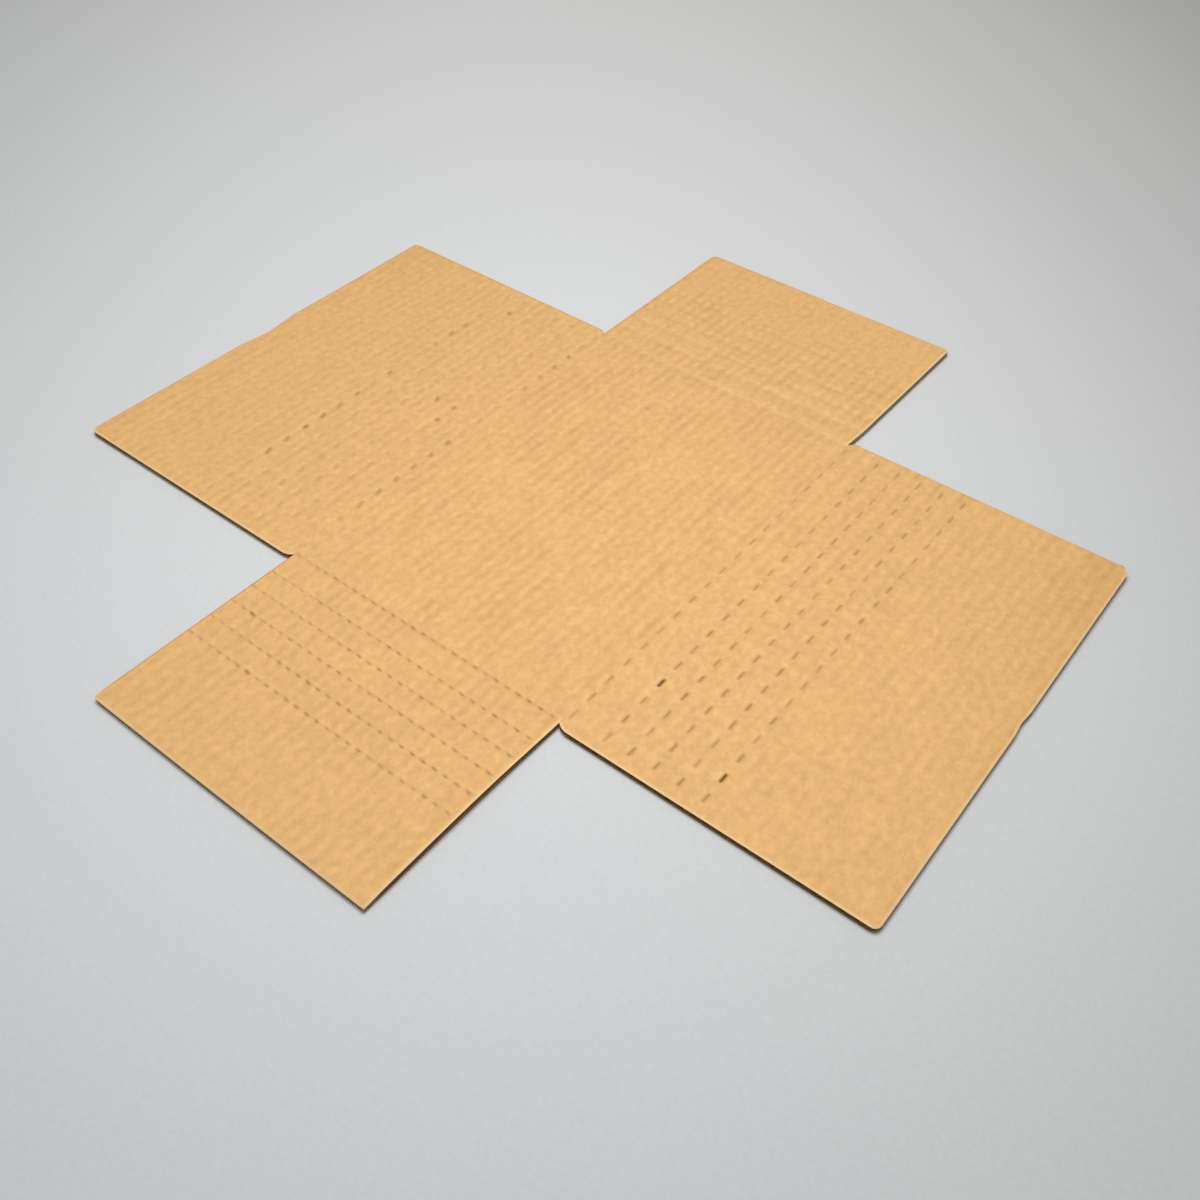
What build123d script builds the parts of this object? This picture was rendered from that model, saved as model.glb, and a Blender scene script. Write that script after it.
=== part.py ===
from build123d import *
from math import radians, sin, tan
import os

# Driving dimensions in millimetres
# The blank: X runs from wing to wing, Y from the front flap to the back flap, Z up
flap_width = 165.0
wing_depth = 247.6
wing_length = 155.0
flap_length = 112.4
corner_radius = 3.0

# The corrugated board, with its flutes along Y
board_thickness = 3.0
liner_thickness = 0.3
medium_thickness = 0.25
flute_pitch = 6.25
flute_slope = 49.0
flute_bend = 0.4
flute_flat = 0.7

# The wings' crease lines, counted outwards from the base panel
wing_crease_gap = 1.9
wing_crease_first_step = 18.75
wing_crease_step = 12.5
wing_crease_count = 6
wing_crease_depth = 0.4
crushed_width = 2.6

# The flaps' crease lines, counted outwards from inside the wings' long edges
flap_crease_inset = 3.3
flap_crease_first_step = 15.7
flap_crease_step = 12.5
flap_crease_count = 6
flap_crease_depth = 0.14

# The section of every crease groove
crease_width = 1.5
crease_floor_width = 1.0

# The perforations along each crease: slits through the wings, finer nicks in the flaps
slit_width = 0.4
wing_slit_length = 6.35
wing_slit_gap = 6.35
flap_nick_length = 3.15
flap_nick_gap = 3.15
flap_nick_margin = 1.2
flap_nick_land = 0.04

# The curved relief beside each inner corner
relief_length = 6.0

# The shallow finger notch in the end of each wing
left_notch_width = 40.0
left_notch_depth = 2.6
left_notch_radius = 36.0
left_notch_y = -1.0
right_notch_width = 16.0
right_notch_depth = 0.7
right_notch_radius = 20.0
right_notch_y = 3.0

# Sizes that follow from the ones above
half_flap = flap_width / 2
half_depth = wing_depth / 2
wing_end = half_flap + wing_length
flap_end = half_depth + flap_length
relief_depth = flap_crease_inset - crease_width / 2
first_crest = flute_pitch / 4

wing_creases = [half_flap + wing_crease_gap] + [
    half_flap + wing_crease_gap + wing_crease_first_step + n * wing_crease_step
    for n in range(wing_crease_count - 1)
]
flap_creases = [half_depth - flap_crease_inset] + [
    half_depth - flap_crease_inset + flap_crease_first_step + n * flap_crease_step
    for n in range(flap_crease_count - 1)
]

wing_slit_pitch = wing_slit_length + wing_slit_gap
wing_slit_count = round((wing_depth - wing_slit_gap) / wing_slit_pitch)
flap_nick_pitch = flap_nick_length + flap_nick_gap
flap_nick_count = int((flap_width - 2 * flap_nick_margin + flap_nick_gap) / flap_nick_pitch)
flap_nick_start = flap_nick_margin + flap_nick_length / 2 - half_flap


# A relief beside an inner corner. Its arc leaves the wing's long edge smoothly and ends at
# the flap's side, on the near border of the flap's first crease.
def relief(x_side, y_side):
    corner = (x_side * half_flap, y_side * half_depth)
    outer = (x_side * (half_flap + relief_length), y_side * half_depth)
    inner = (x_side * half_flap, y_side * (half_depth - relief_depth))
    arc = TangentArc(outer, inner, tangent=(-x_side, 0))
    return make_face([Line(corner, outer), arc, Line(inner, corner)])


# A finger notch in the end of a wing: a flat V with a rounded bottom
def notch(side, y, width, depth, radius):
    end = side * wing_end
    tip = (end - side * depth, y)
    shoulders = [(end, y - width / 2), (end, y + width / 2)]
    shape = make_face(Polyline(tip, *shoulders, close=True))
    return fillet(shape.vertices().sort_by_distance(tip)[0], radius)


# The outline of the blank: a cross of the wings' strip and the flaps' strip, with its
# outer corners rounded, a relief beside each inner corner and a notch in each wing's end
def outline():
    wings = Rectangle(2 * wing_end, wing_depth)
    flaps = Rectangle(flap_width, 2 * flap_end)
    cross = fillet(wings.vertices(), corner_radius) + fillet(flaps.vertices(), corner_radius)
    reliefs = [relief(x_side, y_side) for x_side in (-1, 1) for y_side in (-1, 1)]
    notches = [
        notch(-1, left_notch_y, left_notch_width, left_notch_depth, left_notch_radius),
        notch(1, right_notch_y, right_notch_width, right_notch_depth, right_notch_radius),
    ]
    return cross - reliefs - notches


# The groove that a crease rule presses into the top face, drawn across its line
def groove(centre, depth):
    top = board_thickness
    return Polygon(
        (centre - crease_width / 2, top),
        (centre - crease_floor_width / 2, top - depth),
        (centre + crease_floor_width / 2, top - depth),
        (centre + crease_width / 2, top),
        align=None,
    )


# One channel between the wavy medium and a liner, above the medium (way 1) or below it
# (way -1). Its sides follow the medium's slopes, which bend to a flat at its narrow end.
def channel(centre, way):
    slope = radians(flute_slope)
    half_height = board_thickness / 2 - liner_thickness
    wall = medium_thickness / 2 / sin(slope)
    narrow_end = medium_thickness - half_height
    bend = narrow_end + flute_bend
    half_width_at = {
        z: flute_pitch / 4 + z / tan(slope) - wall for z in (half_height, bend)
    }
    half_width_at[narrow_end] = flute_flat / 2
    middle = board_thickness / 2
    one_side = [(half_width_at[z], z) for z in (half_height, bend, narrow_end)]
    other_side = [(-x, z) for x, z in reversed(one_side)]
    points = [(centre + x, middle + way * z) for x, z in one_side + other_side]
    return make_face(Polyline(*points, close=True))


# The board's section across its flutes: two flat liners and a wavy medium between them.
# The middle of one of the medium's slopes lies on the centre line. The board is crushed
# solid under each of the wings' creases.
def section():
    slab = Pos(0, board_thickness / 2) * Rectangle(2 * wing_end, board_thickness)
    channels = []
    reach = int(wing_end / flute_pitch) + 1
    for n in range(-reach, reach + 1):
        crest = first_crest + n * flute_pitch
        channels.append(channel(crest, -1))
        channels.append(channel(crest + flute_pitch / 2, 1))
    creases = [side * x for side in (-1, 1) for x in wing_creases]
    crushed = [
        Pos(x, board_thickness / 2) * Rectangle(crushed_width, board_thickness)
        for x in creases
    ]
    grooves = [groove(x, wing_crease_depth) for x in creases]
    return slab - channels + crushed - grooves


# The grooves across the flaps, from one side edge to the other
def flap_grooves():
    across = []
    for side in (-1, 1):
        for y in flap_creases:
            profile = Plane.YZ * groove(side * y, flap_crease_depth)
            across.append(extrude(profile, half_flap, both=True))
    return across


# The slits along the wings' creases, cut right through the crushed board
def wing_slits():
    slits = []
    for side in (-1, 1):
        for x in wing_creases:
            for n in range(wing_slit_count):
                y = (n - (wing_slit_count - 1) / 2) * wing_slit_pitch
                cut = Box(slit_width, wing_slit_length, 3 * board_thickness)
                slits.append(Pos(side * x, y, board_thickness / 2) * cut)
    return slits


# The finer nicks across the flaps: V cuts that leave a thin land of the top liner
def flap_nicks():
    top = board_thickness - flap_crease_depth
    tip = board_thickness - liner_thickness + flap_nick_land
    nicks = []
    for side in (-1, 1):
        for y in flap_creases:
            edge = side * y
            cut = Polygon(
                (edge - slit_width / 2, top),
                (edge, tip),
                (edge + slit_width / 2, top),
                (edge, board_thickness),
                align=None,
            )
            nick = extrude(Plane.YZ * cut, flap_nick_length / 2, both=True)
            for n in range(flap_nick_count):
                nicks.append(Pos(flap_nick_start + n * flap_nick_pitch, 0, 0) * nick)
    return nicks


def cross_blank():
    board = extrude(Plane.XZ * section(), flap_end, both=True)
    blank = board & extrude(outline(), board_thickness)
    return blank - flap_grooves() - wing_slits() - flap_nicks()


os.makedirs("parts", exist_ok=True)
blank = cross_blank()
export_step(blank, "parts/cross_blank.step")
print("solids", len(blank.solids()), "volume", round(blank.volume, 1))
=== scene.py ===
from functools import cache
from math import copysign, cos, exp, pi, radians, sin, sqrt, tau
from random import Random

import bmesh
import bpy
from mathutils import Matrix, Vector, noise


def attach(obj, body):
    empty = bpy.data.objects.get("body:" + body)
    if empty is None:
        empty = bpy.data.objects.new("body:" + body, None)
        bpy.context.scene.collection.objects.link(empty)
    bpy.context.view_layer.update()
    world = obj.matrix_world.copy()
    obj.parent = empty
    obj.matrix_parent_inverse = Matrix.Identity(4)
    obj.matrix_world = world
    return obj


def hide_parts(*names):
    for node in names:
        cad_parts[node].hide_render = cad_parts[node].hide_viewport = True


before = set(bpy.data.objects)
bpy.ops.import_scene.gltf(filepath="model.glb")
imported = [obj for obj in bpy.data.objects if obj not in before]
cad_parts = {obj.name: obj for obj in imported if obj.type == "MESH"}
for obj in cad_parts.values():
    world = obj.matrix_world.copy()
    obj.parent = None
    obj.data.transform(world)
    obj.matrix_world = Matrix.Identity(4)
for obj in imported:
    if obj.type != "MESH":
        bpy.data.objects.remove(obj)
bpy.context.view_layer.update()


# The camera stands off the blank's front right corner and looks down on the base panel
# at a little over half a right angle.
mm = 0.001

camera_data = bpy.data.cameras.new("camera")
camera_data.sensor_width = 36
camera_data.lens = 37.384
camera = bpy.data.objects.new("camera", camera_data)
camera.location = (295.98 * mm, -377.74 * mm, 417.85 * mm)
camera.rotation_euler = [radians(turn) for turn in (44.443, -1.019, 38.071)]
bpy.context.scene.collection.objects.link(camera)
bpy.context.scene.camera = camera


# The upper liner is the blank's inside face: a sheet of kraft paper 0.3 mm thick, glued to
# the tips of the flutes. A steel rule cuts its outline, and toothed rules press a crease
# and cut slits through it along six lines on each wing and each flap.
half_flap = 82.5 * mm
half_depth = 123.8 * mm
wing_end = 237.5 * mm
flap_end = 236.2 * mm
relief_length = 6.0 * mm
relief_radius = 8.33 * mm
board_thickness = 3.0 * mm
liner_thickness = 0.3 * mm
wing_length = wing_end - half_flap
flap_length = flap_end - half_depth
flute_pitch = 6.25 * mm
flute_skew = 0.0073
upper_tips = flute_pitch / 4

# On each wing and each flap one crease lies by the base panel and five more follow, 12.5 mm
# apart. Slits run along each of them, at one pitch on the wings and a finer one on the flaps.
creases = range(6)
wing_creases = [84.4 * mm] + [(103.15 + 12.5 * n) * mm for n in creases[:-1]]
wing_slit_pitch = 12.7 * mm
wing_slit_half = 3.175 * mm
wing_slits = range(-9, 10)
wing_strip = 2.6 * mm

flap_creases = [120.5 * mm] + [(136.2 + 12.5 * n) * mm for n in creases[:-1]]
flap_slit_pitch = 6.3 * mm
flap_slit_half = 1.575 * mm
flap_slit_start = -79.725 * mm
flap_slits = range(26)
flap_strip = 1.7 * mm

# A slit is cut out to slit_edge on each side of its line, and then drawn together to
# shut_gap. Wear has torn some slits and nipped others open: each of those is told by its
# side, its crease and its number along the crease.
slit_edge = 0.15 * mm
shut_gap = 0.03 * mm
flap_tears = ((-1, 3, 2), (-1, 5, 6))
wing_tears = ((1, 1, -6), (1, 5, -8))
wing_nips = ((-1, 5, 1), (-1, 2, 1), (-1, 1, 1), (-1, 1, 0), (-1, 4, 8), (-1, 0, 7))

# The sheets are cut into cells of bend_step to bend them, and where the flutes show into
# cuts_per_flute columns and into rows of row_step, in millimetres. The base panel has one
# small dent, the speck, and one wrinkle.
bend_step = 25 * mm
row_step = 8
cuts_per_flute = 6
speck = (-19.2 * mm, 79.4 * mm)
wrinkle_y = -1.6 * mm

# The radii of the outer corners, by the sides that they lie on: some are knocked round,
# and the front flap's right one is still sharp
wing_corners = {(-1, -1): 3.5 * mm, (1, -1): 3.5 * mm, (1, 1): 5.5 * mm, (-1, 1): 2.0 * mm}
flap_corners = {(-1, -1): 2.5 * mm, (1, -1): 0.0, (1, 1): 2.0 * mm, (-1, 1): 3.5 * mm}


def sweep(sheet, faces, axis, places):
    """Cuts the faces across an axis at each place in turn, and gives all the pieces."""
    normal = Vector((axis == 0, axis == 1, 0))
    done = []
    for place in sorted(places):
        parts = dict.fromkeys(part for face in faces for part in (face, *face.edges, *face.verts))
        cut = bmesh.ops.bisect_plane(
            sheet, geom=list(parts), dist=0.0001 * mm, plane_co=normal * place, plane_no=normal
        )
        faces = [part for part in cut["geom"] if isinstance(part, bmesh.types.BMFace)]
        done += [face for face in faces if face.calc_center_bounds()[axis] < place]
        faces = [face for face in faces if face.calc_center_bounds()[axis] > place]
    return done + faces


def on_wings(faces):
    """The faces that lie on the wings."""
    return [face for face in faces if abs(face.calc_center_bounds().x) > half_flap]


def finger_notch(sheet, side, place, width, depth, rounding):
    """The shallow hollow in the end of a wing, with a rounded bottom."""
    panel_edge = half_flap + relief_length
    end = [face for face in sheet.faces if face.calc_center_bounds().x * side > panel_edge]
    sweep(sheet, end, 1, [place - width / 2, place, place + width / 2])
    tip = min(sheet.verts, key=lambda v: (v.co - Vector((side * wing_end, place, 0))).length)
    tip.co.x -= side * depth
    inside = [
        edge for edge in sheet.edges
        if not edge.is_boundary and abs(edge.verts[0].co.y - edge.verts[1].co.y) < mm
        and all(abs(v.co.y - place) < width and v.co.x * side > half_flap for v in edge.verts)
    ]
    bmesh.ops.dissolve_edges(sheet, edges=inside, use_verts=False)
    bmesh.ops.bevel(
        sheet, geom=[tip], offset=rounding, segments=6, profile=0.5,
        affect="VERTICES", material=-1,
    )


def face_up(sheet):
    """Turns the faces of a flat sheet to look up."""
    bmesh.ops.recalc_face_normals(sheet, faces=sheet.faces[:])
    if sheet.faces[0].normal.z < 0:
        bmesh.ops.reverse_faces(sheet, faces=sheet.faces[:])


def blank_sheet():
    """A flat sheet with the blank's outline: base panel, two wings and two flaps."""
    sheet = bmesh.new()
    bmesh.ops.create_grid(sheet, x_segments=3, y_segments=1, size=1)
    for vert in sheet.verts:
        reach = wing_end if abs(vert.co.x) > 0.5 else half_flap
        vert.co = (copysign(reach, vert.co.x), copysign(half_depth, vert.co.y), 0)
    for side in (-1, 1):
        fold = [
            edge for edge in sheet.edges
            if all(abs(v.co.x) < half_flap + mm and v.co.y * side > 0 for v in edge.verts)
        ]
        grown = bmesh.ops.extrude_edge_only(sheet, edges=fold)["geom"]
        flap_verts = [part for part in grown if isinstance(part, bmesh.types.BMVert)]
        bmesh.ops.translate(sheet, verts=flap_verts, vec=(0, side * (flap_end - half_depth), 0))
    for vert in [vert for vert in sheet.verts if len(vert.link_edges) == 2]:
        radii = wing_corners if abs(vert.co.x) > half_flap + mm else flap_corners
        radius = radii[copysign(1, vert.co.x), copysign(1, vert.co.y)]
        if radius:
            bmesh.ops.bevel(
                sheet, geom=[vert], offset=radius, segments=5, profile=0.5,
                affect="VERTICES", material=-1,
            )
    arc_cuts = 5
    steps = [half_flap + relief_length * n / arc_cuts for n in range(1, arc_cuts + 1)]
    sweep(sheet, on_wings(sheet.faces), 0, [side * x for side in (-1, 1) for x in steps])
    for vert in sheet.verts:
        short = half_flap + relief_length - abs(vert.co.x)
        if short > 0 and abs(vert.co.y) < half_depth + mm:
            arc = relief_radius - sqrt(relief_radius ** 2 - min(short, relief_length) ** 2)
            vert.co.y -= copysign(arc, vert.co.y)
    finger_notch(sheet, -1, place=-1.0 * mm, width=40 * mm, depth=2.6 * mm, rounding=5.0 * mm)
    finger_notch(sheet, 1, place=3.0 * mm, width=16 * mm, depth=0.7 * mm, rounding=1.8 * mm)
    face_up(sheet)
    return sheet


outer_ring = 0.6 * mm
inner_ring = 0.9 * mm
between_rings = 0.4


def add_rim(sheet):
    """Two rings of faces inside the outline, and a mask that is 1 on the cut edge, less on
    the line between the rings and 0 past them."""
    rim = sheet.verts.layers.float.new("rim")
    for vert in sheet.verts:
        vert[rim] = float(vert.is_boundary)
    inner = sheet.faces[:]
    for width, level in ((outer_ring, between_rings), (inner_ring, 0.0)):
        ring = set(bmesh.ops.inset_region(
            sheet, faces=inner, thickness=width, use_even_offset=True, use_boundary=True
        )["faces"])
        inner = [face for face in inner if face not in ring]
        for vert in dict.fromkeys(vert for face in inner for vert in face.verts):
            vert[rim] = level


def bend_lines(sheet):
    """Coarse cuts all over, so that both sides of a sheet follow the way the blank lies."""
    for axis, reach in ((0, wing_end), (1, flap_end)):
        count = int(reach / bend_step)
        sweep(sheet, sheet.faces[:], axis, [n * bend_step for n in range(-count, count + 1)])


def wing_place(x, y):
    """The nearest slit on a wing: its side, crease and number, and how far the point lies
    off its line and along it from its middle."""
    side = 1 if x > 0 else -1
    crease = min(creases, key=lambda n: abs(abs(x) - wing_creases[n]))
    number = min(max(round(y / wing_slit_pitch), wing_slits[0]), wing_slits[-1])
    off = x - side * wing_creases[crease]
    return side, crease, number, off, y - number * wing_slit_pitch


def flap_place(x, y):
    """The nearest slit on a flap, told in the same way."""
    side = 1 if y > 0 else -1
    crease = min(creases, key=lambda n: abs(abs(y) - flap_creases[n]))
    number = min(max(round((x - flap_slit_start) / flap_slit_pitch), 0), flap_slits[-1])
    off = y - side * flap_creases[crease]
    return side, crease, number, off, x - flap_slit_start - number * flap_slit_pitch


@cache
def wing_mouth(side, crease, number):
    """How a slit on a wing has been worked open: how far, from 0, shut, to 1, gaping, and
    the middle and half length of its open part."""
    chance = Random(f"wing {side} {crease} {number}")
    if (side, crease, number) in wing_tears:
        return 0.7, 0.0, 2.8 * mm
    if (side, crease, number) in wing_nips:
        return 0.42, chance.uniform(-0.8, 0.8) * mm, chance.uniform(1.4, 2.0) * mm
    # The right wing's slits stand open, most at its front. The left wing's are all but shut,
    # save for two stretches on its first and last crease.
    if side > 0:
        opening = 0.275 - 0.006 * number
        if crease == 0:
            opening *= 0.75
        half = chance.uniform(2.4, 3.1) * mm
    else:
        opening = 0.1
        if crease in (0, 5) and -6 <= number <= -1:
            opening = 0.42 if crease == 5 else 0.32
        elif crease in (0, 5) and 4 <= number <= 6:
            opening = 0.28
        half = chance.uniform(1.8, 2.8) * mm
    opening *= chance.uniform(0.7, 1.25)
    return opening, chance.uniform(-0.8, 0.8) * (wing_slit_half - half), half


@cache
def flap_mouth(side, crease, number):
    """The same for a slit on a flap. The front flap's are open, least at its left side, and
    the back flap's are pressed shut."""
    if (side, crease, number) in flap_tears:
        return 0.9, 0.0, 1.5 * mm
    chance = Random(f"flap {side} {crease} {number}")
    opening = chance.uniform(0.22, 0.44) * min(0.6 + 0.05 * number, 1) if side < 0 else 0.0
    if crease == 0:
        opening *= 0.95
    return opening, chance.uniform(-0.1, 0.1) * mm, chance.uniform(1.2, 1.55) * mm


def on_middle(faces):
    """The faces that lie on the base panel and the flaps."""
    return [face for face in faces if abs(face.calc_center_bounds().x) < half_flap]


def by_creases(faces, place_of, reach):
    """The faces that lie within reach of a crease's line."""
    return [face for face in faces if abs(place_of(*face.calc_center_bounds().xy)[3]) < reach]


def cut_slits(sheet, strips, across, place_of, half_length):
    """Takes each slit's faces out of the crease strips, and all but shuts the slit."""
    slits = []
    for face in strips:
        middle = face.calc_center_bounds()
        off, way = place_of(middle.x, middle.y)[3:]
        if abs(off) < slit_edge and abs(way) < half_length:
            slits.append(face)
    for vert in dict.fromkeys(vert for face in slits for vert in face.verts):
        off = place_of(vert.co.x, vert.co.y)[3]
        vert.co[across] += copysign(shut_gap, off) - off
    bmesh.ops.delete(sheet, geom=slits, context="FACES")


def wing_slits_in(sheet):
    """Cuts the slits along the wings' creases."""
    lines = [side * x for side in (-1, 1) for x in wing_creases]
    borders = [x + way * wing_strip for x in lines for way in (-1, 1)]
    borders = [x for x in borders if abs(x) > half_flap]
    wings = sweep(sheet, on_wings(sheet.faces), 0, borders)
    strips = by_creases(wings, wing_place, wing_strip)
    ends = [n * wing_slit_pitch + way * wing_slit_half for n in wing_slits for way in (-1, 1)]
    strips = sweep(sheet, strips, 1, ends)
    strips = sweep(sheet, strips, 0, [x + way * slit_edge for x in lines for way in (-1, 1)])
    cut_slits(sheet, strips, 0, wing_place, wing_slit_half)


def flap_slits_in(sheet):
    """Cuts the finer slits along the flaps' creases."""
    lines = [side * y for side in (-1, 1) for y in flap_creases]
    borders = [y + way * flap_strip for y in lines for way in (-1, 1)]
    middle = sweep(sheet, on_middle(sheet.faces), 1, borders)
    strips = by_creases(middle, flap_place, flap_strip)
    centres = [flap_slit_start + n * flap_slit_pitch for n in flap_slits]
    strips = sweep(sheet, strips, 0, [x + way * flap_slit_half for x in centres for way in (-1, 1)])
    strips = sweep(sheet, strips, 1, [y + way * slit_edge for y in lines for way in (-1, 1)])
    cut_slits(sheet, strips, 1, flap_place, flap_slit_half)


def cut_sheet():
    """A sheet as all three papers have it: the blank's outline and the wings' slits."""
    sheet = blank_sheet()
    add_rim(sheet)
    bend_lines(sheet)
    wing_slits_in(sheet)
    return sheet


def fine_lines(sheet, faces):
    """Cuts one side's faces finely enough to bend them to the flutes, creases and lips."""
    middle = on_middle(faces)
    wings = on_wings(faces)
    strips = by_creases(wings, wing_place, wing_strip)
    strip_set = set(strips)
    panels = [face for face in wings if face not in strip_set]

    # The wings between their creases: columns that follow the flutes, and plain rows
    reach = int(cuts_per_flute * wing_end / flute_pitch)
    columns = [n * flute_pitch / cuts_per_flute for n in range(-reach, reach + 1)]
    panels = sweep(sheet, panels, 0, [x for x in columns if abs(x) > half_flap + mm])
    wing_rows = range(-15, 16)
    sweep(sheet, panels, 1, [n * row_step * mm for n in wing_rows])

    # The base panel and the flaps: columns that follow the slits, and rows that crowd at the
    # creases, the speck and the wrinkle
    centres = [flap_slit_start + n * flap_slit_pitch for n in flap_slits]
    steps = (-1.575, -0.55, 0.55, 1.575, 2.625, 3.675)
    columns = [x + step * mm for x in centres for step in steps]
    panel_rows = range(-14, 15)
    rows = [n * row_step * mm for n in panel_rows]
    steps = (-2.7, -1.1, -0.5, 0.5, 1.1, 2.7)
    rows += [side * y + step * mm for side in (-1, 1) for y in flap_creases for step in steps]
    between_creases = 6.25 * mm
    rows += [side * (y + between_creases) for side in (-1, 1) for y in flap_creases[1:-1]]
    end_rows = [194 + row_step * n for n in range(6)]
    rows += [side * y * mm for side in (-1, 1) for y in end_rows]
    rows += [speck[1] + step * mm for step in (-2.0, -1.2, -0.5, 0.5, 1.2, 2.0)]
    rows += [wrinkle_y + step * mm for step in (-2.6, -1.8, -1.1, -0.4, 0.4, 1.1, 1.8, 2.6)]
    sweep(sheet, sweep(sheet, middle, 0, columns), 1, rows)

    # The strips along the wings' creases: rows and columns that crowd at the slits
    steps = (-4.3, -2.1, -1.05, 0, 1.05, 2.1, 4.3, 6.35)
    rows = [n * wing_slit_pitch + step * mm for n in wing_slits for step in steps]
    steps = (-1.7, -1.05, -0.5, 0.5, 1.05, 1.7)
    sides = [side * x + step * mm for side in (-1, 1) for x in wing_creases for step in steps]
    sweep(sheet, sweep(sheet, strips, 1, rows), 0, sides)


def lie(x, y):
    """How far the blank stands off the table: it is cupped a little, and handling has
    lifted the left wing's end, the back and the right side of the front flap."""
    cup = 0.35 * min((x * x + y * y) / (120 * mm) ** 2, 1)
    left = 0.5 * max(-x - half_flap, 0) / wing_length * (1 + 0.4 * y / half_depth)
    back = 0.5 * min(max(y / half_depth, 0), 1) ** 2
    down_flap = max(-y - half_depth, 0) / flap_length
    flap = 0.9 * sin(pi * down_flap) * max(x / half_flap, 0)
    wave = 0.1 * noise.noise(Vector((x / (110 * mm), y / (110 * mm), 3.0)))
    return (0.1 + cup + left + back + flap + wave) * mm


def bell(distance, width):
    """1 at no distance, a third at the width, in millimetres, and 0 far off."""
    return exp(-((distance / (width * mm)) ** 2))


def wing_press(x, y):
    """A wing's slit: its lips bend down, and painted shade darkens them as far as it stands open,
    with a painted highlight past its open ends. On the right wing's front a painted highlight
    lies beside them, and at its back each crease is a faint line of painted shade. On the left
    wing a ridge with a painted highlight stands beside the slits, and their painted shade lies
    a little toward the base panel."""
    side, crease, number, off, way = wing_place(x, y)
    opening, middle, half = wing_mouth(side, crease, number)
    beyond = abs(way - middle) - half
    lip = min(max((0.5 * mm - beyond) / (1.2 * mm), 0), 1)
    height = -0.03 * mm * bell(off, 0.9) - 0.5 * mm * opening * lip * bell(off, 0.6)
    shade = 0.35 * opening * bell(beyond - 1.4 * mm, 1.0) * bell(off, 0.9)
    if side > 0:
        front = max(-y / half_depth, 0)
        line = 0.02 + 0.14 * max(y / half_depth, 0)
        deep = opening * (1 + 0.55 * opening)
        shade -= deep * lip * bell(off - 0.4 * mm * front, 0.9)
        shade += 0.7 * opening * lip * front * bell(off + 2.0 * mm, 0.7)
        return height, shade - line * bell(off + 0.6 * mm, 0.9)
    shade -= 1.1 * opening * lip * bell(off - 1.0 * mm + 0.35 * way, 1.4)
    ridge = lip * bell(off + 1.5 * mm, 0.8)
    return height + 0.1 * mm * ridge, shade + 0.12 * ridge


def front_flap_press(x, y):
    """A slit on the front flap: a groove along the crease, and lips that bend down. Painted shade
    darkens the lips and runs along the crease as a faint line, and a painted highlight lies on
    the base panel's side of each slit.
    """
    side, crease, number, off, way = flap_place(x, y)
    opening, middle, half = flap_mouth(side, crease, number)
    lip = min(max((half + 0.5 * mm - abs(way - middle)) / mm, 0), 1)
    bite = bell(off + 0.3 * way, 0.7)
    height = -0.07 * mm * bell(off, 0.8) - 0.45 * mm * opening * lip * bite
    shade = 0.4 * opening * bell(off - 1.4 * mm, 0.8) * bell(way - 0.8 * mm, 1.8)
    shade -= 1.1 * opening * lip * bite
    line = 0.09 * bell(off + 0.4 * mm, 1.2) if crease == 0 else 0.05 * bell(off, 0.8)
    return height, shade - line


def back_flap_press(x, y):
    """The back flap's slits are pressed shut. Its first crease is a ridge with a painted
    highlight, with painted shade on its base panel's side, and the others are bumps on the
    flutes' tips with painted highlights, and painted shade in dips on their base panel's side."""
    _, crease, _, off, _ = flap_place(x, y)
    if crease == 0:
        painted_light = 0.5 + 0.5 * noise.noise(Vector((x / (9 * mm), 0.0, 5.0)))
        painted_light *= min(max(0.8 + x / half_flap, 0.35), 1)
        ridge = bell(off - 0.9 * mm, 1.2)
        return 0.16 * mm * ridge, 0.36 * painted_light * ridge - 0.06 * bell(off + 2.0 * mm, 1.3)
    on_tip = 1 - min(valley(x, y, upper_tips), 1)
    painted_light = 1 + noise.noise(Vector((x / (5 * mm), y / (6 * mm), 5.0))) + 0.25 * x / half_flap
    bump = on_tip ** 2 * bell(off - 0.5 * mm, 1.8) * painted_light
    dip = bell(off + 2.9 * mm, 1.6) * painted_light
    return 0.15 * mm * bump - 0.04 * mm * dip, 0.24 * bump - 0.08 * dip


def panel_press(x, y):
    """The base panel is plain but for one small dent, painted darker, and one wrinkle, darkened
    with painted shade.
    """
    dent = bell(sqrt((x - speck[0]) ** 2 + (y - speck[1]) ** 2), 1.3)
    line = wrinkle_y + 1.2 * mm * noise.noise(Vector((x / (9 * mm), 0.0, 2.0))) + 0.05 * x
    fold = bell(y - line, 0.8) * bell(x - 4 * mm, 17)
    return -0.12 * mm * dent - 0.05 * mm * fold, -0.35 * dent - 0.13 * fold


def press(x, y):
    """What the rules did to the upper liner: its height against flat, and the light and shade
    painted on it, from -1, painted shade deep in a slit, to 1, a painted highlight."""
    if abs(x) > half_flap - 0.01 * mm:
        return wing_press(x, y)
    if abs(y) <= flap_creases[0] - 4 * mm:
        return panel_press(x, y)
    return front_flap_press(x, y) if y < 0 else back_flap_press(x, y)


def gape(x, y):
    """Moves a point of a slit's edge out to where the slit stands open."""
    if abs(x) > half_flap:
        side, crease, number, off, way = wing_place(x, y)
        opening, middle, half = wing_mouth(side, crease, number)
    else:
        side, crease, number, off, way = flap_place(x, y)
        opening, middle, half = flap_mouth(side, crease, number)
    if abs(off) > 2 * shut_gap or abs(way - middle) > half:
        return x, y
    lens = (0.05 * opening + 0.5 * opening ** 4) * (1 - ((way - middle) / half) ** 2)
    if abs(x) > half_flap:
        return x + copysign(lens * mm, off), y
    return x, y + copysign(lens * mm, off)


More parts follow.
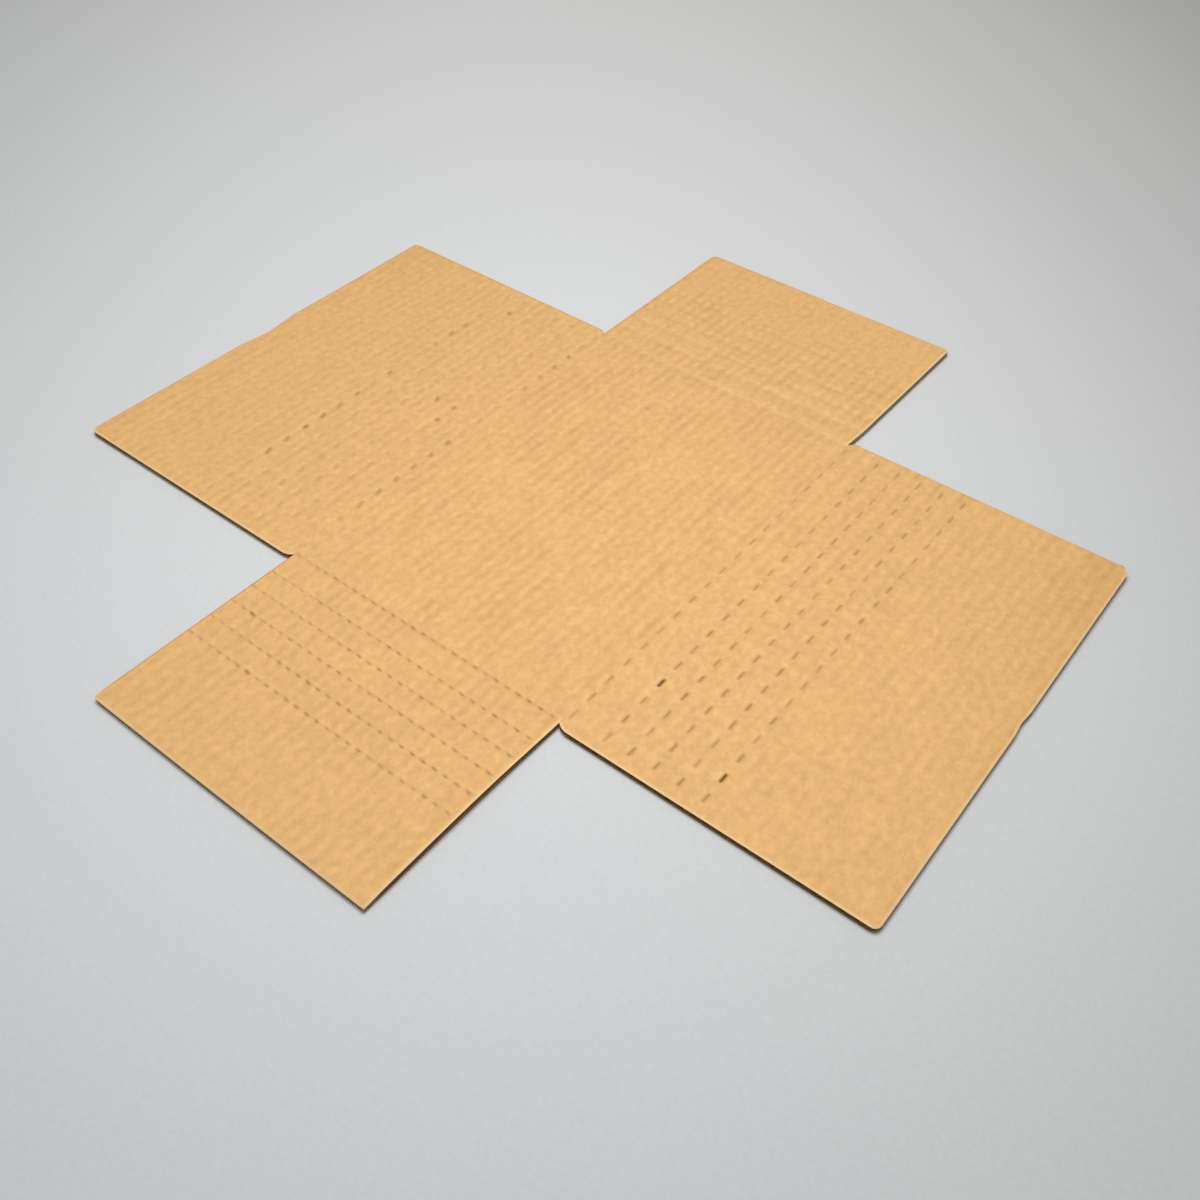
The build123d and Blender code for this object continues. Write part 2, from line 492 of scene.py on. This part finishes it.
def rib_depth(x, y):
    """How plainly the flutes show through, in the sag and in its painted shade: most on the base
    panel's middle and at the right wing's back, and least at the right wing's front and the
    back flap's end."""
    if x > half_flap:
        return 0.7 + 0.4 * min(max(y / half_depth, -1), 1)
    if x < -half_flap:
        return 0.75
    patches = 0.65 * noise.noise(Vector((x / (40 * mm), y / (40 * mm), 7.0)))
    plain = 0.85 + 0.3 * exp(-(x * x + y * y) / (95 * mm) ** 2) + patches
    past_creases = min(max((y - 190 * mm) / (10 * mm), 0), 1)
    return plain * (1 - 0.4 * past_creases)


def valley(x, y, crest):
    """0 on a flute's tip and 1 half way to the next one, uneven along the flutes."""
    phase = (x - flute_skew * y - crest) / flute_pitch
    uneven = 1 + 1.1 * noise.noise(Vector((x / (7 * mm), y / (20 * mm), 9.0)))
    return min(rib_depth(x, y) * uneven, 1.9) * (1 - cos(tau * phase)) / 2


# How far the paper sags between the flutes and how much darker painted shade makes it
# there, how far the rule has crushed the edges, in three degrees, and how wide the band along
# an edge is
sag = 0.11 * mm
hollow_shade = 0.10
rim_drop = 0.3 * mm
crushed_drop = 0.6 * mm
end_drop = 0.8 * mm
edge_band = 3 * mm


def upper_face(x, y, rim):
    """The rule crushes the board's edge. The front flap's end is crushed the most, and the
    right wing's end, the left wing's front and the back flap's right side a little less."""
    drop = rim_drop
    if y < -flap_end + edge_band:
        drop = end_drop
    elif x > wing_end - edge_band or (x < -half_flap and y < 0) or (x > 0 and y > half_depth):
        drop = crushed_drop
    return board_thickness + lie(x, y) + press(x, y)[0] - drop * rim


def painted_edge_light(x, y, rim):
    """A painted highlight lies along the edges on the front and the right, and a little painted
    shade along the others, mostly on the front flap's left. Painted shade also darkens the
    right wing's back corner and the middle of its end."""
    if abs(x) > half_flap + 0.1 * mm:
        painted_light = y < -half_depth + edge_band or x > wing_end - edge_band
    else:
        painted_light = x > half_flap - edge_band or y < -flap_end + edge_band
    painted_edge_shade = 0.45 if y < -half_depth and x < 0 else 0.2
    corner = bell(wing_end - x, 32) * min(max(y / (90 * mm), 0), 1)
    middle = bell(wing_end - x, 8) * bell(y + 8 * mm, 28)
    return (0.6 if painted_light else -painted_edge_shade) * min(rim / between_rings, 1) - 0.12 * corner - 0.13 * middle


def painted_cut_edge_light(x, y, rim):
    """Painted shadow darkens the cut edge below the upper face along the front flap's right side,
    and painted light makes it a little paler at that flap's end and along the back flap's right
    side."""
    if rim < 0.9:
        return 0.0
    if y < -flap_end + 1.5 * mm:
        return 0.3
    if x > half_flap - 1.5 * mm and abs(y) > half_depth:
        return 0.3 if y > 0 else -0.8
    return 0.0


def bow(x, y):
    """The left wing and the front flap have crept in a little between their ends, and so has
    the front flap's right side. The back flap's right side and the right wing's back
    stand out."""
    down_flap = max(-y - half_depth, 0) / flap_length
    up_flap = max(y - half_depth, 0) / flap_length
    across = x / half_flap
    if x < -half_flap - mm:
        x += 0.9 * mm * sin(pi * (-x - half_flap) / wing_length)
    elif down_flap:
        x -= 0.5 * mm * min(3 * down_flap, 1) * max(across, 0)
        y += (0.9 * sin(pi * down_flap) + 0.3 * down_flap * across ** 2) * mm
    elif up_flap:
        x += (0.6 + 0.6 * up_flap) * mm * max(across, 0) ** 2 * min(8 * up_flap, 1)
    elif x > half_flap:
        near_back = min(max((y - half_depth) / (12 * mm) + 1, 0), 1)
        y += 0.7 * mm * near_back * min((x - half_flap) / relief_length, 1)
    return x, y


sheet = cut_sheet()
flap_slits_in(sheet)
bmesh.ops.translate(sheet, verts=sheet.verts, vec=(0, 0, board_thickness))
bmesh.ops.solidify(sheet, geom=sheet.faces[:], thickness=liner_thickness)
fine_lines(sheet, [face for face in sheet.faces if face.normal.z > 0.9])
rim = sheet.verts.layers.float["rim"]
shade = sheet.verts.layers.float.new("shade")
for vert in sheet.verts:
    x, y, z = vert.co
    on_top = z > board_thickness - liner_thickness / 2
    hollow = valley(x, y, upper_tips) * (1 - vert[rim])
    height = z - board_thickness + upper_face(x, y, vert[rim])
    if on_top:
        height -= sag * hollow
    # Painted highlight and shade on the upper face's edges, painted shadow and light on the cut
    # edges below it, and painted shade in the flute hollows
    painted_light = painted_edge_light if on_top else painted_cut_edge_light
    vert[shade] = press(x, y)[1] - hollow_shade * hollow + painted_light(x, y, vert[rim])
    vert.co = (*bow(*gape(x, y)), height)


sharp_angle = radians(50)


def finished(name, sheet):
    """The sheet as a smooth object with sharp cut edges, riding on the blank's one body."""
    bmesh.ops.recalc_face_normals(sheet, faces=sheet.faces[:])
    mesh = bpy.data.meshes.new(name)
    sheet.to_mesh(mesh)
    sheet.free()
    mesh.shade_smooth()
    mesh.set_sharp_from_angle(angle=sharp_angle)
    piece = bpy.data.objects.new(name, mesh)
    bpy.context.scene.collection.objects.link(piece)
    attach(piece, "root")
    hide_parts("cross_blank")
    return piece


top_liner = finished("top_liner", sheet)


def add(tree, kind, inputs, **settings):
    """One shader node, with its inputs set or linked."""
    made = tree.nodes.new("ShaderNode" + kind)
    for name, value in settings.items():
        setattr(made, name, value)
    for key, value in inputs.items():
        if isinstance(value, bpy.types.NodeSocket):
            tree.links.new(value, made.inputs[key])
        else:
            made.inputs[key].default_value = value
    return made


def calculate(tree, operation, *values, **settings):
    """The result of one sum in a shader."""
    return add(tree, "Math", dict(enumerate(values)), operation=operation, **settings).outputs[0]


def ramp(tree, value, low, high, start, end):
    """A value that goes from start to end while the given one goes from low to high."""
    return add(tree, "MapRange", {"Value": value, 1: low, 2: high, 3: start, 4: end}).outputs[0]


def kraft_fibre_group():
    """Kraft paper's uneven tone: streaks along the flutes, clouds, mottle, fibres, flecks."""
    group = bpy.data.node_groups.new("kraft fibres", "ShaderNodeTree")
    interface = group.interface
    interface.new_socket("Vector", in_out="INPUT", socket_type="NodeSocketVector")
    for name in ("Streaks", "Clouds", "Mottle", "Fibres", "Flecks"):
        interface.new_socket(name, in_out="INPUT", socket_type="NodeSocketFloat")
    interface.new_socket("Tone", in_out="OUTPUT", socket_type="NodeSocketFloat")
    interface.new_socket("Height", in_out="OUTPUT", socket_type="NodeSocketFloat")
    given = group.nodes.new("NodeGroupInput").outputs
    result = group.nodes.new("NodeGroupOutput").inputs

    def layer(stretch, detail, seed):
        at = add(group, "Mapping", {
            "Vector": given["Vector"], "Scale": stretch, "Location": (seed, 0, 0),
        })
        return add(group, "TexNoise", {
            "Vector": at.outputs[0], "Scale": 1.0, "Detail": detail, "Roughness": 0.6,
        }).outputs["Fac"]

    # Each pattern has so many cells in a metre across the flutes, along them and up
    streaks = layer((430, 75, 430), 3.0, 0.0)
    clouds = layer((70, 55, 70), 4.0, 5.0)
    mottle = layer((270, 220, 270), 3.0, 13.0)
    fibres = layer((2600, 800, 2600), 3.0, 9.0)
    cross_fibres = layer((900, 2400, 900), 2.0, 2.0)
    tone = 1.0
    for pattern, amount in (
        (streaks, "Streaks"),
        (clouds, "Clouds"),
        (mottle, "Mottle"),
        (fibres, "Fibres"),
        (cross_fibres, "Fibres"),
    ):
        off = calculate(group, "SUBTRACT", pattern, 0.5)
        tone = calculate(group, "MULTIPLY_ADD", off, given[amount], tone)

    # One cell in five has a dark fleck at its middle
    at = add(group, "Mapping", {"Vector": given["Vector"], "Scale": (260, 150, 260)})
    cells = add(group, "TexVoronoi", {"Vector": at.outputs[0], "Scale": 1.0, "Randomness": 1.0})
    near = ramp(group, cells.outputs["Distance"], 0.05, 0.12, 1.0, 0.0)
    chosen = add(group, "SeparateColor", {"Color": cells.outputs["Color"]}).outputs[0]
    rare = calculate(group, "GREATER_THAN", chosen, 0.8)
    fleck = calculate(group, "MULTIPLY", near, rare)
    dark = calculate(group, "MULTIPLY", fleck, given["Flecks"])
    tone = calculate(group, "SUBTRACT", tone, dark)
    group.links.new(tone, result["Tone"])

    height = calculate(group, "ADD", fibres, cross_fibres)
    height = calculate(group, "MULTIPLY_ADD", streaks, 1.5, height)
    group.links.new(height, result["Height"])
    return group


kraft_fibres = kraft_fibre_group()
# The colours that the painted shade and the painted highlights mix in
painted_shade_colour = (0.27, 0.112, 0.012)
painted_highlight_colour = (0.90, 0.68, 0.40)


def kraft_material(name, colour, cut_colour, amounts):
    """Matt kraft paper: cut edges in a darker tone, and painted shade and painted highlights."""
    material = bpy.data.materials.new(name)
    material.use_nodes = True
    tree = material.node_tree
    shader = tree.nodes["Principled BSDF"]
    at = add(tree, "TexCoord", {}).outputs["Object"]
    fibres = tree.nodes.new("ShaderNodeGroup")
    fibres.node_tree = kraft_fibres
    tree.links.new(at, fibres.inputs["Vector"])
    for key, amount in amounts.items():
        fibres.inputs[key].default_value = amount
    shade = add(tree, "Attribute", {}, attribute_name="shade").outputs["Fac"]
    # A face that stands up is a cut edge, and takes the darker cut tone, which is partly painted
    # shade. The shade is below 0 where shade is painted, in the slits and elsewhere, and above 0
    # where a highlight is painted.
    normal = add(tree, "SeparateXYZ", {0: add(tree, "NewGeometry", {}).outputs["True Normal"]})
    level = calculate(tree, "ABSOLUTE", normal.outputs["Z"])
    is_cut = ramp(tree, level, 0.3, 0.6, 1.0, 0.0)
    paper = add(tree, "VectorMath", {0: colour, "Scale": fibres.outputs["Tone"]}, operation="SCALE")
    tone = paper.outputs[0]
    dark = calculate(tree, "MULTIPLY", shade, -1.0, use_clamp=True)
    pale = calculate(tree, "MULTIPLY", shade, 1.0, use_clamp=True)
    for factor, other in ((is_cut, cut_colour), (dark, painted_shade_colour), (pale, painted_highlight_colour)):
        inputs = {"Factor": factor, "A": tone, "B": (*other, 1)}
        tone = add(tree, "Mix", inputs, data_type="RGBA").outputs["Result"]
    tree.links.new(tone, shader.inputs["Base Color"])
    bump = add(tree, "Bump", {
        "Strength": 0.25, "Distance": 0.05 * mm, "Height": fibres.outputs["Height"],
    })
    tree.links.new(bump.outputs[0], shader.inputs["Normal"])
    shader.inputs["Roughness"].default_value = 0.85
    shader.inputs["Specular IOR Level"].default_value = 0.25
    return material


kraft_colour = (0.78, 0.46, 0.18)
# The cut edges' darker tone: partly the cut paper's own, partly painted shade
cut_kraft_colour = (0.40, 0.26, 0.13)
top_liner.data.materials.append(kraft_material(
    "kraft_liner", kraft_colour, cut_kraft_colour,
    {"Streaks": 0.10, "Clouds": 0.16, "Mottle": 0.50, "Fibres": 0.20, "Flecks": 0.12},
))


# The fluted medium is the wavy paper between the liners, glued to both along its flutes'
# tips, which run from the front to the back. It is made from shorter, recycled fibres, so
# it is duller than the liners.
medium_thickness = 0.25 * mm
glue_gap = 0.02 * mm
lower_rim_lift = 0.15 * mm
cuts_per_wave = 10

sheet = cut_sheet()
steps = (-1.2, 0, 1.2)
rows = [side * y + step * mm for side in (-1, 1) for y in flap_creases for step in steps]
sweep(sheet, on_middle(sheet.faces), 1, rows)
reach = int(cuts_per_wave * wing_end / flute_pitch)
columns = [n * flute_pitch / cuts_per_wave for n in range(-reach, reach + 1)]
sweep(sheet, sheet.faces[:], 0, columns)
rim = sheet.verts.layers.float["rim"]
shade = sheet.verts.layers.float.new("shade")
for vert in sheet.verts:
    x, y = vert.co.xy
    roof = upper_face(x, y, vert[rim]) - liner_thickness - glue_gap
    ground = liner_thickness + glue_gap + lie(x, y) + lower_rim_lift * vert[rim]
    phase = (x - flute_skew * y - upper_tips) / flute_pitch
    swing = (roof - ground - medium_thickness) / 2
    place_of = wing_place if abs(x) > half_flap else flap_place
    # Painted shade darkens the medium along every crease, where it shows through the slits, and its
    # cut edges get painted shadow and light
    vert[shade] = -bell(place_of(x, y)[3], 1.0)
    vert[shade] += painted_cut_edge_light(x, y, vert[rim])
    vert.co = (*bow(x, y), (roof + ground + medium_thickness) / 2 + swing * cos(tau * phase))
face_up(sheet)
bmesh.ops.solidify(sheet, geom=sheet.faces[:], thickness=medium_thickness)
fluted_medium = finished("fluted_medium", sheet)
# The medium's cut edges also take a darker tone, partly painted shade
fluted_medium.data.materials.append(kraft_material(
    "fluting_paper", (0.36, 0.24, 0.12), (0.28, 0.19, 0.10),
    {"Streaks": 0.10, "Clouds": 0.15, "Mottle": 0.30, "Fibres": 0.20, "Flecks": 0.25},
))


# The lower liner is the blank's outside face and lies on the table. It is the same kraft
# paper, glued to the flutes' lower tips. The wings' rules cut through it too, and push its
# slits' lips down a little, and painted shade darkens them.
lower_tips = 3 * flute_pitch / 4
lip_push = 0.06 * mm
lip_shade = 0.35


def lower_lip(x, y):
    """How near a point is to a wing's slit in the lower liner: 1 on its edges, 0 away."""
    if abs(x) < half_flap:
        return 0.0
    off, way = wing_place(x, y)[3:]
    return bell(off, 0.5) if abs(way) < wing_slit_half + 0.1 * mm else 0.0


sheet = cut_sheet()
bmesh.ops.translate(sheet, verts=sheet.verts, vec=(0, 0, liner_thickness))
bmesh.ops.solidify(sheet, geom=sheet.faces[:], thickness=liner_thickness)
fine_lines(sheet, [face for face in sheet.faces if face.normal.z < -0.9])
rim = sheet.verts.layers.float["rim"]
shade = sheet.verts.layers.float.new("shade")
for vert in sheet.verts:
    x, y, z = vert.co
    hollow = valley(x, y, lower_tips) * (1 - vert[rim])
    lip = lower_lip(x, y)
    height = z + lie(x, y) + lower_rim_lift * vert[rim] - lip_push * lip
    if z < liner_thickness / 2:
        height += sag * hollow
    # Painted shadow and light on the cut edges, and painted shade in the flute hollows and on the
    # slits' lips
    vert[shade] = painted_cut_edge_light(x, y, vert[rim]) - hollow_shade * hollow - lip_shade * lip
    vert.co = (*bow(x, y), height)
bottom_liner = finished("bottom_liner", sheet)
bottom_liner.data.materials.append(top_liner.data.materials[0])


# The floor is a pale grey table top that reaches past the picture on every side. Its colour
# has a painted pool of light: brightest behind the left wing, falling off to the front, the
# right and the back. Past the picture it fades into the pale room.
floor_reach = 6
floor_depth = 0.02 * mm

floor_mesh = bpy.data.meshes.new("floor")
sheet = bmesh.new()
bmesh.ops.create_grid(sheet, x_segments=1, y_segments=1, size=floor_reach)
bmesh.ops.translate(sheet, verts=sheet.verts, vec=(0, 0, -floor_depth))
sheet.to_mesh(floor_mesh)
sheet.free()
floor = bpy.data.objects.new("floor", floor_mesh)
bpy.context.scene.collection.objects.link(floor)

# The painted pool of light on the table: its middle, how far it is turned, how fast it falls
# off each way and what is left of it far off. Then the greys at the front and the back, with
# the places where they are reached, and how far off the table begins and ends to fade.
pool_middle = (-0.5554, 0.6359, 0)
pool_turn = radians(-35.8)
pool_spread = (1.031, 0.406, 0)
least_light = 0.68
front_grey = (0.765, 0.786, 0.800, 1)
back_grey = (0.791, 0.786, 0.767, 1)
front_y = -0.4
back_y = 0.85
fade_start = 0.9
fade_end = 1.5

grey = bpy.data.materials.new("table_grey")
grey.use_nodes = True
tree = grey.node_tree
shader = tree.nodes["Principled BSDF"]
shader.inputs["Roughness"].default_value = 0.8
shader.inputs["Specular IOR Level"].default_value = 0.2
at = add(tree, "TexCoord", {}).outputs["Object"]
from_middle = add(tree, "VectorMath", {0: at, 1: pool_middle}, operation="SUBTRACT")
turned = add(
    tree, "VectorRotate", {"Vector": from_middle.outputs[0], "Angle": pool_turn},
    rotation_type="Z_AXIS",
)
spread = add(tree, "VectorMath", {0: turned.outputs[0], 1: pool_spread}, operation="MULTIPLY")
square = add(
    tree, "VectorMath", {0: spread.outputs[0], 1: spread.outputs[0]}, operation="DOT_PRODUCT"
)
falling = calculate(tree, "MULTIPLY", square.outputs["Value"], -1.0)
pool = calculate(tree, "EXPONENT", falling)
light = calculate(tree, "MAXIMUM", pool, least_light)
place = add(tree, "SeparateXYZ", {0: at})
back = ramp(tree, place.outputs["Y"], front_y, back_y, 0.0, 1.0)
tint = add(tree, "Mix", {"Factor": back, "A": front_grey, "B": back_grey}, data_type="RGBA")
grain = add(tree, "TexNoise", {"Vector": at, "Scale": 450.0, "Detail": 2.0})
level = ramp(tree, grain.outputs["Fac"], 0.2, 0.8, 0.965, 1.035)
bright = calculate(tree, "MULTIPLY", light, level)
shade = add(tree, "VectorMath", {0: tint.outputs["Result"], "Scale": bright}, operation="SCALE")
tree.links.new(shade.outputs[0], shader.inputs["Base Color"])
reach = add(tree, "VectorMath", {0: at}, operation="LENGTH")
gone = ramp(tree, reach.outputs["Value"], fade_start, fade_end, 0.0, 1.0)
clear = add(tree, "BsdfTransparent", {})
faded = add(tree, "MixShader", {0: gone, 1: shader.outputs[0], 2: clear.outputs[0]})
tree.links.new(faded.outputs[0], tree.nodes["Material Output"].inputs["Surface"])
floor_mesh.materials.append(grey)


# A broad lamp hangs high over the table and a weaker one low over the blank, and the
# room's walls give the rest.
for name, place, size, energy in (
    ("ceiling_lamp", (-0.12, 0.09, 1.8), 1.2, 18.8),
    ("table_lamp", (0.05, -0.04, 0.45), 0.25, 0.72),
):
    lamp_data = bpy.data.lights.new(name, "AREA")
    lamp_data.shape = "DISK"
    lamp_data.size = size
    lamp_data.energy = energy
    lamp = bpy.data.objects.new(name, lamp_data)
    lamp.location = place
    lamp.visible_camera = False
    bpy.context.scene.collection.objects.link(lamp)

room = bpy.data.worlds.new("room")
room.use_nodes = True
tree = room.node_tree
tree.nodes.clear()
rays = add(tree, "LightPath", {}).outputs
seen = calculate(tree, "MAXIMUM", rays["Is Camera Ray"], rays["Is Glossy Ray"])
seen = calculate(tree, "MAXIMUM", seen, rays["Is Transmission Ray"])
walls = add(tree, "Background", {"Color": (1, 1, 1, 1), "Strength": 0.25})
pale = add(tree, "Background", {"Color": (0.62, 0.63, 0.63, 1), "Strength": 1.0})
both = add(tree, "MixShader", {0: seen, 1: walls.outputs[0], 2: pale.outputs[0]})
output = tree.nodes.new("ShaderNodeOutputWorld")
tree.links.new(both.outputs[0], output.inputs["Surface"])
bpy.context.scene.world = room

bpy.context.scene.view_settings.view_transform = "Standard"
